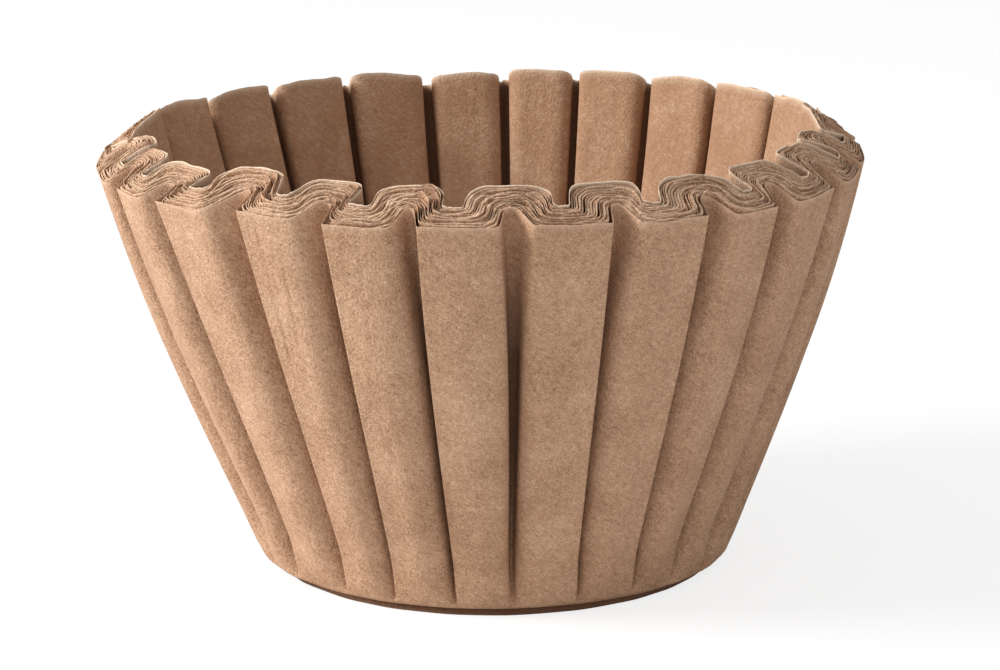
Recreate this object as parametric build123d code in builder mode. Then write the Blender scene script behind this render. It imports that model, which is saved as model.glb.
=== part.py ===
"""A nest of fluted paper basket filters for a drip coffee maker, resting on its flat floor.

Every filter is a round disc of paper pressed into a basket: a flat floor and a flaring wall folded
into flutes. The flutes start above the foot and deepen towards the rim. Broad outer pleats alternate
with narrow slots, and between the slots the wall goes round in broad inner pleats. The nest holds
the outermost filter, the filters pressed together like the pages of a book, and the innermost one.
The origin is at the centre of the floor, +Z is up, and all sizes are in millimetres.
"""

from build123d import *
from math import atan, cos, pi, radians, sin, tan
import os

# Overall form of the outermost filter, measured over the outer pleats.
foot_radius_line = 44.3  # where the wall's line meets the floor's plane, before the foot is rounded
waist_height = 38.0
waist_bulge = 2.0  # the wall swells this far over the straight line from foot to rim
rim_height = 75.0  # the lower, outer edge of the rim
rim_radius = 70.6
foot_rounding = 6.0
rim_slope = 36.0  # degrees: the nest's rim rises inwards, because every disc has the same size

# Flutes. A size given at the foot and at the rim changes evenly between the two.
flute_count = 24
first_flute_turn = -2.5  # degrees from the -Y axis to the middle of the first outer pleat
slot_depth_foot = 0.8
slot_depth_rim = 4.2
slot_floor_foot = 1.0
slot_floor_rim = 1.9
slot_flare = 0.32  # a slot's flanks lean out this far for each millimetre of its depth
inner_slot_mouth_foot = 1.2
inner_slot_mouth_rim = 2.5
inner_slot_widening = 0.8  # the inner slots are this much wider at their floor, at the rim
inner_pleat_rounding = 0.74  # radius of an inner pleat's shoulder as a share of the slot's depth

# Creases. A rounding in paper is a row of narrow flats.
foot_flats = 2
shoulder_flats = 3
crisp_share = 0.4  # the layers nearest the outside, up to this share, are folded without roundings

# The paper.
nest_thickness = 4.5  # all the filters together, square to the paper
paper_thickness = 0.25  # one filter, with the cockle of its paper
filter_gap = 0.15  # air between a loose filter's wall and the pressed ones; on the floor they touch
inner_filter_stands_proud = 0.5
parting_shares = (0.34, 0.64)  # where the pressed filters part into bundles at the rim
parting_width = 0.3
parting_depth = 1.2

# Working values.
flute_turn = 360 / flute_count
construction_top = 96.0  # the walls are built up to here and then cut to the rim's slope
rim_cut_margin = 6.0
same_point = 0.001
waist_share = waist_height / rim_height
waist_radius = foot_radius_line + (rim_radius - foot_radius_line) * waist_share + waist_bulge
lower_lean = atan((waist_radius - foot_radius_line) / waist_height)
upper_lean = atan((rim_radius - waist_radius) / (rim_height - waist_height))
foot_turn = pi / 2 - lower_lean
floor_radius = foot_radius_line - foot_rounding * tan(foot_turn / 2)
foot_end_height = foot_rounding * (1 - cos(foot_turn))


def wall_stations():
    """Points up the outermost wall: radius, height, turn of the paper from level, fluted or not."""
    stations = []
    for flat in range(foot_flats + 1):
        turn = foot_turn * flat / foot_flats
        radius = floor_radius + foot_rounding * sin(turn)
        height = foot_rounding * (1 - cos(turn))
        stations.append((radius, height, turn, flat == foot_flats))
    waist_turn = pi / 2 - (lower_lean + upper_lean) / 2
    stations.append((waist_radius, waist_height, waist_turn, True))
    top_radius = waist_radius + (construction_top - waist_height) * tan(upper_lean)
    stations.append((top_radius, construction_top, pi / 2 - upper_lean, True))
    return stations


def up_the_wall(foot_value, rim_value, height):
    """A size that changes evenly from the end of the foot's rounding to the rim."""
    climb = (height - foot_end_height) / (rim_height - foot_end_height)
    return foot_value + (rim_value - foot_value) * climb


def rounded_fold(corner, before, after, radius):
    """Points round a clockwise fold at a corner between two flats."""
    towards = (before - corner).normalized()
    away = (after - corner).normalized()
    opening = towards.get_angle(away)
    centre = corner + (towards + away).normalized() * (radius / sin(radians(opening / 2)))
    spoke = corner + towards * (radius / tan(radians(opening / 2))) - centre
    step = (opening - 180) / shoulder_flats
    return [centre + spoke.rotate(Axis.Z, step * flat) for flat in range(shoulder_flats + 1)]


def slot_outline(radius, depth, height, share, slot):
    """Points along one slot, in the layer that lies a share of the way into the nest.

    Share 0 is the outermost surface and share 1 the innermost. The points run from the end of one
    outer pleat, along the slot's floor, to the start of the next outer pleat.
    """
    floor = radius - depth
    outer_floor = up_the_wall(slot_floor_foot, slot_floor_rim, height) / 2
    outer_mouth = outer_floor + slot_flare * depth
    mouth_half = up_the_wall(inner_slot_mouth_foot, inner_slot_mouth_rim, height) / 2
    widening = inner_slot_widening / 2 * depth / slot_depth_rim
    half_at_pleat = outer_mouth + share * (pi / flute_count * radius - mouth_half - widening - outer_mouth)
    half_at_floor = outer_floor + share * (pi / flute_count * floor - mouth_half - outer_floor)
    pleat_end, floor_start = Vector(radius, -half_at_pleat), Vector(floor, -half_at_floor)
    floor_end, pleat_start = Vector(floor, half_at_floor), Vector(radius, half_at_pleat)
    first_fold, second_fold = [floor_start], [floor_end]
    if share > crisp_share and depth > 0:
        rounding = inner_pleat_rounding * depth * share
        first_fold = rounded_fold(floor_start, pleat_end, floor_end, rounding)
        second_fold = rounded_fold(floor_end, floor_start, pleat_start, rounding)
    elif share > crisp_share:
        first_fold, second_fold = [floor_start] * (shoulder_flats + 1), [floor_end] * (shoulder_flats + 1)
    turn = first_flute_turn + flute_turn * (slot + 0.5) - 90
    return [point.rotate(Axis.Z, turn) for point in (pleat_end, *first_fold, *second_fold, pleat_start)]


def fluted_outline(station, share, loose):
    """The closed outline of one layer at one station; a loose layer stands off except on the floor."""
    radius, height, turn, fluted = station
    share += loose if turn > 0 else 0
    depth = up_the_wall(slot_depth_foot, slot_depth_rim, height) if fluted else 0
    inward = share * nest_thickness
    rise = Vector(0, 0, height + inward * cos(turn))
    outline = []
    for slot in range(flute_count):
        outline += slot_outline(radius - inward * sin(turn), depth, height, share, slot)
    return [point + rise for point in outline]


def flat_face(points):
    """A flat face through these points; a point that repeats its neighbour is left out."""
    previous = points[-1:] + points[:-1]
    corners = [point for point, last in zip(points, previous) if (point - last).length > same_point]
    return Face(Wire.make_polygon(corners)) if len(corners) > 2 else None


def filled_basket(share, loose=0.0):
    """A solid basket bounded by one layer of the nest, from that layer's floor to the top."""
    outlines = [fluted_outline(station, share, loose) for station in wall_stations()]
    faces = [flat_face(outlines[0]), flat_face(outlines[-1])]
    for lower, upper in zip(outlines, outlines[1:]):
        for start, end in zip(range(-1, len(lower)), range(len(lower))):
            faces.append(flat_face([lower[start], lower[end], upper[end], upper[start]]))
    return Solid(Shell([face for face in faces if face]))


def under_rim(proud=0.0):
    """Everything under the sloping rim of the nest, which is straight across every outer pleat."""
    rise = tan(radians(rim_slope))
    reach = rim_radius + rim_cut_margin
    low = rim_height + proud - rise * rim_cut_margin
    with BuildPart() as room:
        with BuildSketch(Plane.XY.offset(low)):
            turn = first_flute_turn + (flute_turn - 180) / 2
            RegularPolygon(reach, flute_count, major_radius=False, rotation=turn)
        extrude(amount=rise * (reach - floor_radius / 2), taper=90 - rim_slope)
        extrude(faces().sort_by(Axis.Z)[0], amount=low + rim_cut_margin)
    return room.part


def rim_parting(share):
    """The room between two bundles of filters, at the rim."""
    with BuildPart() as parting:
        add(filled_basket(share))
        add(filled_basket(share + parting_width / nest_thickness), mode=Mode.SUBTRACT)
        add(under_rim(-parting_depth), mode=Mode.SUBTRACT)
    return parting.part


def nested_layer(outer_share, inner_share, loose=0.0, proud=0.0):
    """The paper between two layers of the nest, open at the top and cut to the rim's slope."""
    with BuildPart() as layer:
        add(filled_basket(outer_share, loose))
        add(filled_basket(inner_share, -loose), mode=Mode.SUBTRACT)
        add(under_rim(proud), mode=Mode.INTERSECT)
    return layer.part


if __name__ == "__main__":
    os.makedirs("parts", exist_ok=True)
    sheet = paper_thickness / nest_thickness
    gap = filter_gap / nest_thickness

    outer_filter = nested_layer(0, sheet)
    outer_filter.label = "outer_filter"
    export_step(outer_filter, "parts/outer_filter.step")

    with BuildPart() as pressed:
        add(nested_layer(sheet, 1 - sheet, loose=gap))
        for share in parting_shares:
            add(rim_parting(share), mode=Mode.SUBTRACT)
    pressed_filters = pressed.part
    pressed_filters.label = "pressed_filters"
    export_step(pressed_filters, "parts/pressed_filters.step")

    inner_filter = nested_layer(1 - sheet, 1, proud=inner_filter_stands_proud)
    inner_filter.label = "inner_filter"
    export_step(inner_filter, "parts/inner_filter.step")
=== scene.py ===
"""Visual model of a nest of fluted paper coffee filters.

Every sheet of the nest is built from one rule, as in the solid model: a layer lies a share of the way
from the outermost surface (0) to the innermost (1), and its corners are interpolated between the two,
so neighbouring sheets follow each other and never cross. Sizes are in millimetres and angles in degrees
from the -Y axis until a mesh is written, which is in metres.
"""

import logging
import math
from dataclasses import dataclass, field
from enum import Enum

import bpy
import numpy as np
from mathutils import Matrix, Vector


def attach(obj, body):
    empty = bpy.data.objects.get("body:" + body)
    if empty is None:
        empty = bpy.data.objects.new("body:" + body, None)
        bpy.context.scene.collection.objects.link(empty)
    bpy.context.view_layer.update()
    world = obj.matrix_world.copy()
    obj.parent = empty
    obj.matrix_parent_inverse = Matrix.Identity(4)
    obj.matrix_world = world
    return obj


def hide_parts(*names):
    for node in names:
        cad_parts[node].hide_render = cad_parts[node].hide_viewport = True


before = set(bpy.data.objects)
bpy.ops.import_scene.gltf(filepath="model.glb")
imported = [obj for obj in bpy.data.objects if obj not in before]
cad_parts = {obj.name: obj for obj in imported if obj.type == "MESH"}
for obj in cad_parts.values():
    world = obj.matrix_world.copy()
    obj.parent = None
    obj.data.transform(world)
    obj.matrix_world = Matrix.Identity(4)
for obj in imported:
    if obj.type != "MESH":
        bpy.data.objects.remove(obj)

LOG = logging.getLogger("coffee_filters")
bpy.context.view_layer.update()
MM = 0.001
SHEET_EDGE_SEED = 3

Colour = tuple[float, float, float]
Triple = tuple[float, float, float]
Span = tuple[float, float]


class Surface(Enum):
    """The part of the nest that a finish is for."""

    OUTSIDE = "kraft_outside"
    INSIDE = "kraft_inside"
    CUT_EDGES = "kraft_cut_edges"


@dataclass(frozen=True)
class Slot:
    """One slot between two outer pleats, seen from outside, and the inner pleat that goes round it.

    Attributes:
        mouth: Angles of the left and right edge of its mouth at the rim.
        floor: Angles of the left and right edge of its floor at the rim.
        depth: Depth at the rim, in mm.
        waist: Angle of its middle half way up.
        foot: Angle of its middle at the foot.
        lean: Which edge is the wide, soft one below the rim: -1 the left one, 1 the right one.
        lift: How far the pleats' corners left and right of it stand above the even rim, in mm.
        rounding: How round the inner pleat's left and right shoulders are, as a share of the usual.
    """

    mouth: Span
    floor: Span
    depth: float
    waist: float
    foot: float
    lean: float
    lift: Span
    rounding: Span


@dataclass(frozen=True)
class InnerSlot:
    """One slot between two inner pleats, seen from outside the nest.

    Attributes:
        mouth: Angles where the inner pleats left and right of it end, at the rim.
        bottom: Angles of the left and right end of its bottom, at the rim.
    """

    mouth: Span
    bottom: Span


@dataclass(frozen=True)
class Crease:
    """A crease up an outer pleat.

    Attributes:
        slot: Number of the slot left of the pleat.
        across: Its place across the pleat, 0 at the left and 1 at the right.
        heights: Its lower and upper end, in mm.
        depth: Its depth in mm.
    """

    slot: int
    across: float
    heights: Span
    depth: float


CREASES = (
    Crease(2, 0.3, (44.0, 78.0), 0.2),
    Crease(2, 0.78, (50.0, 72.0), 0.2),
    Crease(3, 0.58, (46.0, 78.0), 0.12),
)
FRONT_SLOTS = (
    Slot((-69.2, -65.2), (-68.2, -66.8), 5.4, -65.5, -66.0, -1.0, (0.0, 0.0), (1.0, 0.7)),
    Slot((-56.2, -52.3), (-53.0, -51.0), 4.4, -51.0, -54.0, -1.0, (0.3, 0.0), (1.0, 0.7)),
    Slot((-40.9, -35.0), (-36.6, -34.6), 4.7, -35.3, -37.3, -1.0, (0.8, 1.5), (1.2, 0.45)),
    Slot((-25.6, -21.6), (-22.6, -21.2), 4.5, -22.4, -24.0, -1.0, (1.3, 0.6), (1.2, 0.5)),
    Slot((-11.8, -8.2), (-10.2, -9.0), 4.2, -9.3, -9.3, -1.0, (0.6, 0.7), (0.9, 0.9)),
    Slot((2.9, 7.6), (4.0, 5.6), 4.0, 4.9, 4.1, 0.0, (0.9, 0.8), (1.0, 1.1)),
    Slot((18.6, 23.0), (19.4, 21.0), 4.2, 19.0, 19.8, 1.0, (0.5, 0.3), (0.8, 1.3)),
    Slot((33.4, 38.0), (34.0, 36.2), 4.2, 33.6, 34.0, 1.0, (0.3, 0.0), (0.8, 1.4)),
    Slot((46.9, 51.4), (48.2, 50.4), 5.2, 46.8, 45.5, 1.0, (-0.5, -0.4), (0.8, 1.3)),
    Slot((62.4, 67.2), (64.2, 66.4), 6.2, 60.5, 58.0, 1.0, (0.0, 0.0), (0.7, 1.2)),
    Slot((77.0, 81.0), (78.4, 80.2), 7.4, 74.5, 73.0, 1.0, (0.0, 0.0), (0.8, 1.0)),
)
LEFT_SLOT = Slot((278.6, 282.4), (279.6, 281.4), 7.2, 279.5, 279.0, -1.0, (0.0, 0.0), (1.0, 0.7))
FRONT_INNER_SLOTS = (
    InnerSlot((-59.4, -57.4), (-62.4, -59.8)),
    InnerSlot((-45.0, -41.6), (-47.8, -43.8)),
    InnerSlot((-30.6, -25.8), (-29.8, -27.4)),
    InnerSlot((-17.0, -14.5), (-18.9, -15.4)),
    InnerSlot((-4.5, -1.3), (-5.0, -2.0)),
    InnerSlot((11.2, 13.9), (10.8, 13.2)),
    InnerSlot((25.2, 28.4), (24.4, 27.2)),
    InnerSlot((40.4, 42.5), (42.2, 44.8)),
    InnerSlot((55.0, 56.8), (58.0, 60.2)),
    InnerSlot((68.0, 69.7), (73.4, 76.4)),
    InnerSlot((78.2, 80.2), (85.5, 87.8)),
)
LEFT_INNER_SLOTS = (
    InnerSlot((279.6, 281.6), (272.4, 274.6)),
    InnerSlot((290.2, 292.0), (286.6, 289.0)),
)


@dataclass(frozen=True)
class BackSlots:
    """The slots round the back: nearly even, with small changes.

    Every span is the smallest and the largest value that a slot may get.

    Attributes:
        angles: Angle of each slot's middle at the rim.
        seed: Seed of the changes.
        offset: How far a floor lies to one side of its mouth, in degrees.
        mouth: Half the width of a mouth, in degrees.
        floor: Half the width of a floor, in degrees.
        turn: How far a slot turns from rim to waist and from waist to foot, in degrees.
        depth: Depth at the rim, in mm.
        lift: Lift of the pleats' corners beside it, in mm.
        rounding: Rounding of the inner pleat's shoulders.
        right_lift: How much higher the rim stands at the back right, in mm.
        right_rate: How fast that lift sets in with the sine of the angle.
        side_start: Sine of the angle from which slots get deeper towards the sides.
        side_rate: How much deeper they get, in mm per unit of the sine.
    """

    angles: tuple[float, ...] = (
        94.0, 109.5, 126.5, 141.7, 155.9, 169.2,
        182.3, 197.0, 212.2, 227.1, 243.5, 262.4,
    )
    seed: int = 7
    offset: Span = (-0.9, 0.9)
    mouth: Span = (1.5, 2.2)
    floor: Span = (0.6, 1.0)
    turn: Span = (-0.7, 0.7)
    depth: Span = (3.9, 4.6)
    lift: Span = (0.1, 1.0)
    rounding: Span = (0.6, 1.2)
    right_lift: float = 0.9
    right_rate: float = 3.0
    side_start: float = 0.96
    side_rate: float = 55.0

    def build(self) -> list[Slot]:
        """The slots in order of angle.

        Returns:
            One slot for each angle.
        """
        rng = np.random.default_rng(self.seed)
        slots = []
        for middle in self.angles:
            sideways = math.sin(math.radians(middle))
            offset = rng.uniform(*self.offset)
            mouth = rng.uniform(*self.mouth)
            floor = rng.uniform(*self.floor)
            deepening = max(0.0, abs(sideways) - self.side_start) * self.side_rate
            raised = self.right_lift * min(1.0, max(0.0, self.right_rate * sideways))
            waist = middle + rng.uniform(*self.turn)
            slots.append(
                Slot(
                    mouth=(middle - mouth, middle + mouth),
                    floor=(middle + offset - floor, middle + offset + floor),
                    depth=rng.uniform(*self.depth) + deepening,
                    waist=waist,
                    foot=waist + rng.uniform(*self.turn),
                    lean=float(rng.choice((-1.0, 0.0, 1.0))),
                    lift=(raised + rng.uniform(*self.lift), raised + rng.uniform(*self.lift)),
                    rounding=(rng.uniform(*self.rounding), rng.uniform(*self.rounding)),
                )
            )
        return slots


@dataclass(frozen=True)
class NestForm:
    """Sizes of the whole nest. A size given at the foot and at the rim changes evenly between them.

    Attributes:
        rim_height: Height of the rim's lower, outer edge.
        rim_radius: Radius of the outer pleats at the rim.
        rim_slope: How steeply the rim rises inwards, in degrees.
        full_rise: How much of that rise is kept in full, about.
        late_rise: Share of the rise that is kept beyond it.
        profile_heights: Heights at which the outer pleats' radius is known.
        profile_radii: The radius at each of them.
        profile_degree: Degree of the smooth curve through them.
        thickness: All the sheets together, square to the paper.
        foot_rounding: Radius of the fold from floor to wall.
        foot_lift: Height of the step under that fold.
        foot_rest: Width and depth of the ring that the nest rests on, as shares of the floor's.
        floor_share: Size of the plain middle of the floor, as a share of that ring's.
        slot_start: Height where the slots start.
        slot_fade: Height over which they reach their depth.
        slot_fade_power: How suddenly they do so: below 1 is sudden.
        slot_depth_foot: Depth of a slot at the foot.
        slot_depth_rim: Usual depth of a slot at the rim.
        outer_deepening: How much deeper a slot is in the outermost sheet, as a share.
        deepening_rate: How fast that sets in below the rim.
        mouth_half_foot: Half the width of a slot's mouth at the foot.
        mouth_half_rim: The same at the rim, before the rim's own shape sets in.
        floor_half_foot: Half the width of a slot's floor at the foot.
        floor_half_rim: The same at the rim.
        rim_flare: How late the rim's own shape sets in up the wall, as a power.
        soft_widening: How much wider a mouth is on its soft side, as a share.
        shingle_widening: How much wider still it is at the nest's sides.
        shingle_sines: Sines of the angles between which that sets in.
        soft_floor_narrowing: How much narrower a slot's floor is on its soft side, as a share.
        crisp_narrowing: How much narrower a mouth is on its crisp side, as a share.
        undercut: How far a slot's floor goes under the crisp edge.
        inner_mouth_foot: Width of an inner slot's mouth at the foot.
        inner_mouth_rim: The same at the rim.
        inner_widening: How much wider an inner slot is at its bottom, at the rim.
        pleat_bulge: How far an outer pleat swells between its corners.
        bulge_end: Height where the swelling ends, as a share of the rim's.
        bulge_power: How suddenly it sets in below that height.
        bulge_foot: Height over which it fades towards the foot.
        bulge_loss: Share of it that the innermost layer loses.
        chord_sag: How much of it is left outside the wall's even radius.
        dome_skew: How far the top of the swelling leans to the crisp side.
        foot_shift: How far the foot stands to the right.
        rim_shift: How far the rim does.
    """

    rim_height: float = 75.0
    rim_radius: float = 70.6
    rim_slope: float = 36.0
    full_rise: float = 4.4
    late_rise: float = 0.25
    profile_heights: tuple[float, ...] = (0.0, 5.6, 10.0, 22.0, 33.0, 45.0, 56.0, 68.0, 75.0, 90.0)
    profile_radii: tuple[float, ...] = (44.3, 46.2, 48.0, 53.2, 57.4, 61.5, 65.3, 68.9, 70.6, 74.0)
    profile_degree: int = 4
    thickness: float = 4.5
    foot_rounding: float = 1.8
    foot_lift: float = 1.1
    foot_rest: Span = (0.968, 1.015)
    floor_share: float = 0.9
    slot_start: float = 2.0
    slot_fade: float = 9.0
    slot_fade_power: float = 0.7
    slot_depth_foot: float = 3.3
    slot_depth_rim: float = 4.2
    outer_deepening: float = 0.6
    deepening_rate: float = 4.5
    mouth_half_foot: float = 0.68
    mouth_half_rim: float = 1.5
    floor_half_foot: float = 0.3
    floor_half_rim: float = 0.8
    rim_flare: float = 4.0
    soft_widening: float = 0.1
    shingle_widening: float = 1.7
    shingle_sines: Span = (0.35, 0.8)
    soft_floor_narrowing: float = 1.2
    crisp_narrowing: float = 0.5
    undercut: float = 0.45
    inner_mouth_foot: float = 0.9
    inner_mouth_rim: float = 1.3
    inner_widening: float = 1.4
    pleat_bulge: float = 1.8
    bulge_end: float = 1.1
    bulge_power: float = 0.55
    bulge_foot: float = 10.0
    bulge_loss: float = 0.6
    chord_sag: float = 0.5
    dome_skew: float = 1.5
    foot_shift: float = 1.4
    rim_shift: float = -1.1

    def wall_radius(self, height: np.ndarray | float) -> np.ndarray | float:
        """Radius of the outer pleats at each height."""
        curve = np.polynomial.Polynomial.fit(self.profile_heights, self.profile_radii, self.profile_degree)
        return curve(height)


@dataclass(frozen=True)
class FoldForm:
    """How far the folds' roundings reach along the paper, in mm unless another unit is given.

    Attributes:
        pleat: Least reach along a pleat.
        flank: Least reach along a slot's flank, from a pleat.
        soft_shoulder: Further reach along a pleat at its soft edge.
        crisp_shoulder: Further reach along a pleat at its crisp edge.
        even_softness: How soft both edges of a slot are that leans to neither side.
        soft_flank: Further reach along the flank below a soft edge, in the outermost sheet.
        low_flank: Further reach along every flank, low on the wall.
        crisp_loss: Share of that which a crisp edge loses.
        inside: Further reach in the layers inside the nest.
        inside_from: Share at which a layer has it in full.
        inside_loss: Share of it that the innermost layer loses.
        inside_flank: Share of it that counts along the flank.
        low_end: Height where the wall's low part ends, as a share of the rim's.
        low_rate: How fast the shoulders soften below it.
        low_power: How late they do.
        slot: Least reach at a slot's floor.
        slot_part: Further reach there, as a share of the slot's depth.
        inner_flank: Reach along the flank in the innermost layer, as a share of the depth.
        inner_floor: Reach along the slot's floor in the innermost layer, as a share of the depth.
    """

    pleat: float = 0.25
    flank: float = 0.2
    soft_shoulder: float = 5.5
    crisp_shoulder: float = 0.2
    even_softness: float = 0.5
    soft_flank: float = 3.2
    low_flank: float = 0.9
    crisp_loss: float = 0.7
    inside: float = 2.1
    inside_from: float = 0.12
    inside_loss: float = 0.8
    inside_flank: float = 0.6
    low_end: float = 1.15
    low_rate: float = 1.6
    low_power: float = 1.2
    slot: float = 0.3
    slot_part: float = 0.2
    inner_flank: float = 0.6
    inner_floor: float = 0.85


@dataclass(frozen=True)
class FoldShade:
    """Where shade is painted into the paper's colour in the folds and on the foot's step, by heights in mm.

    Attributes:
        outside: Where the outside's slots start to get painted shade up the wall, and where it is darkest.
        outside_power: How suddenly they do so.
        inside: The same two heights on the inside.
        rim: Where the outside's painted slot shade starts to fade towards the rim, and where it is faintest.
        rim_loss: How much of the painted shade it loses there.
        step_margin: How far above the step under the foot its painted contact shadow ends.
    """

    outside: Span = (3.0, 30.0)
    outside_power: float = 0.8
    inside: Span = (8.0, 20.0)
    rim: Span = (50.0, 72.0)
    rim_loss: float = 0.65
    step_margin: float = 0.01


@dataclass(frozen=True)
class Sheet:
    """A whole filter: floor, foot and wall, on both sides.

    Attributes:
        name: Name of the piece.
        shares: Shares of its outer and inner surface.
        shifts: How far each of the two is moved outwards, in mm.
        proud: How far its edge stands above the even rim, in mm.
        unevenness: How unevenly its edge stands, in mm.
        surface: Which finish it gets.
    """

    name: str
    shares: Span
    shifts: Span
    proud: float
    unevenness: float
    surface: Surface


@dataclass(frozen=True)
class SheetStack:
    """Sheet edges that show along the rim between two shares.

    Attributes:
        name: Name of the piece.
        first: Share of the outermost sheet.
        last: Share of the innermost sheet.
        sheets: Number of sheets.
        narrow_gap: Smallest part of a sheet's pitch that is air.
        wide_gap: Largest part of a sheet's pitch that is air.
        depth: How far down the wall each sheet is built, in mm.
        unevenness: How unevenly the sheets' edges stand, in mm.
        proud: How far the edges stand above the even rim, in mm.
        seed: Seed of the stack's unevenness.
    """

    name: str
    first: float
    last: float
    sheets: int
    narrow_gap: float
    wide_gap: float
    depth: float
    unevenness: float
    proud: float
    seed: int


@dataclass(frozen=True)
class PaperFinish:
    """Colours and relief of the unbleached paper.

    Attributes:
        surface: What it is for.
        base: Colour of the paper, linear.
        dark: Colour of its darker fibres.
        light: Colour of its paler fibres and of cut edges; a cut edge's paleness is partly painted highlight.
        mottle: Strength of the clouds and felt marks in its colour.
        grain: Strength of its finest grain.
        fleck: Share of dark fibres.
        edge: How much paler a cut edge is: partly the cut fibres, partly a painted highlight along the rim's
            top.
        relief: Strength of its relief.
        streaks: Strength of the fine creases that run up the wall.
        shade: Strength of the shade painted into the folds and onto the foot's step.
    """

    surface: Surface
    base: Colour
    dark: Colour
    light: Colour
    mottle: float
    grain: float
    fleck: float
    edge: float
    relief: float
    streaks: float
    shade: float


def climb_between(values: np.ndarray, span: Span) -> np.ndarray:
    """How far each value has come from the span's start to its end, kept between 0 and 1."""
    return np.clip((values - span[0]) / (span[1] - span[0]), 0.0, 1.0)


def ripple(rng: np.random.Generator, along: np.ndarray, knots: int) -> np.ndarray:
    """Smooth random waves round the nest.

    Args:
        rng: Source of the random values.
        along: Places round the nest, from 0 to 1.
        knots: Number of random values in one turn.

    Returns:
        One value for each place, of about unit size.
    """
    values = rng.normal(size=knots)
    place = along * knots
    low = np.floor(place).astype(int)
    mix = place - low
    mix = mix * mix * (3 - 2 * mix)
    return values[low % knots] * (1 - mix) + values[(low + 1) % knots] * mix


class FlutedWall:
    """Points on any layer of the nest.

    A slot has four corners: the end of the pleat left of it, the two ends of its floor, and the start of
    the pleat right of it. Each corner is a fold with FOLD_POINTS points, and on the flat that follows it
    lie FLAT_POINTS more.

    Attributes:
        form: Sizes of the nest.
        folds: Roundings of its folds.
        slots: The slots round it.
        inner: The slots between its inner pleats.
        radius: Radius of the outer pleats at every station up the wall.
        height: Height of every station.
        turn: Turn of the paper from level at every station, in radians.
        foot_rows: Number of stations round the foot.
        columns: Number of points round the nest.
        climb: Height of every station as a share of the rim's.
        dome: How far the outer pleats swell at every station.
        along: Place of every column round the nest, from 0 to 1.
        lift: How far the rim stands above its even slope at every column.
        lit_flank: 1 on the flanks where the sheets fan open.
    """

    FOLD_POINTS = (5, 8, 8, 5)
    FLAT_POINTS = (3, 12, 3, 16)
    PER_SLOT = sum(FOLD_POINTS) + sum(FLAT_POINTS)
    CLEFT_AT_CORNERS = (0.0, 0.2, 0.85, 1.0, 1.0, 0.85, 0.2, 0.0, 0.0)
    FOLD_HANDLE = 0.62
    FLAT_LIMIT = 0.47
    FLANK_LIMIT = 0.97
    OUTER_PLEAT_PART = 0.65
    INNER_PLEAT_PART = 0.35
    SAME_POINT = 1e-9
    FOOT_STATIONS = 7
    FOOT_SLOPE = 0.44
    FOOT_BLEND = 4.0
    LOW_STEP = 1.2
    LOW_END = 12.0
    HIGH_START = 12.5
    HIGH_STEP = 2.5
    TOP = 90.0
    CLIMB_LIMIT = 1.2
    CREASE_FADES = (6.0, 4.0)
    CREASE_PROFILE = ((-1, 0.35), (0, -1.0), (1, 0.2))
    FANNED_ANGLES = (-60.0, -5.0)
    FANNED_LIFT = 0.5
    FANNED_BLEND = 5
    RIM_GUESS = 3.0
    RIM_ROUNDS = 4

    def __init__(self, form: NestForm, folds: FoldForm, slots: list[Slot]) -> None:
        """Lays out the stations up the wall and the columns round it.

        Args:
            form: Sizes of the nest.
            folds: Roundings of its folds.
            slots: The slots round it, in order of angle.
        """
        self.form = form
        self.folds = folds
        self.slots = slots
        turns = np.linspace(0.0, math.pi / 2 - math.atan(self.FOOT_SLOPE), self.FOOT_STATIONS)
        flat = float(form.wall_radius(0.0)) - form.foot_rounding * math.tan(turns[-1] / 2)
        foot_r = flat + form.foot_rounding * np.sin(turns)
        foot_z = form.foot_lift + form.foot_rounding * (1 - np.cos(turns))
        low_rows = np.arange(foot_z[-1] + self.LOW_STEP, self.LOW_END, self.LOW_STEP)
        wall_z = np.concatenate([low_rows, np.arange(self.HIGH_START, self.TOP, self.HIGH_STEP)])
        wall_r = form.wall_radius(wall_z)
        foot_gap = foot_r[-1] - float(form.wall_radius(foot_z[-1]))
        wall_r += foot_gap * np.exp(-(wall_z - foot_z[-1]) / self.FOOT_BLEND)
        self.radius = np.concatenate([foot_r, wall_r])
        self.height = np.concatenate([foot_z, wall_z])
        self.turn = np.concatenate([turns, math.pi / 2 - np.arctan(np.gradient(wall_r, wall_z))])
        self.foot_rows = len(foot_z)
        self.columns = len(slots) * self.PER_SLOT
        self.climb = np.clip(self.height / form.rim_height, 0.0, self.CLIMB_LIMIT)[:, None]
        low = np.clip(form.bulge_end - self.climb, 0.0, 1.0)
        from_foot = np.clip(self.height[:, None] / form.bulge_foot, 0.0, 1.0)
        self.dome = form.pleat_bulge * low**form.bulge_power * from_foot
        self.inner = self._inner_slots()
        middle_layer = self.grid(0.5)[self._row_at(form.rim_height)]
        steps = np.linalg.norm(middle_layer - np.roll(middle_layer, 1, axis=0), axis=1)
        self.along = np.cumsum(steps) / steps.sum()
        self.lift = self._rim_lift(middle_layer)
        self.lit_flank = self._lit_flank()

    def _row_at(self, height: float) -> int:
        """The station nearest to a height."""
        return int(np.argmin(np.abs(self.height - height)))

    def _inner_slots(self) -> list[InnerSlot]:
        """Every slot between two inner pleats: the seen ones, and the rest half way between slots.

        Returns:
            The inner slots in order of angle, each the one right of the slot with its number.
        """
        form = self.form
        inner = list(FRONT_INNER_SLOTS)
        middles = [sum(slot.mouth) / 2 for slot in self.slots]
        middles.append(middles[0] + 360)
        mouth = math.degrees(form.inner_mouth_rim / 2 / form.rim_radius)
        bottom = math.degrees((form.inner_mouth_rim + form.inner_widening) / 2 / form.rim_radius)
        for before, after in list(zip(middles, middles[1:]))[len(inner) :]:
            middle = (before + after) / 2
            inner.append(InnerSlot((middle - mouth, middle + mouth), (middle - bottom, middle + bottom)))
        inner[-len(LEFT_INNER_SLOTS) :] = LEFT_INNER_SLOTS
        return inner

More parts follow.
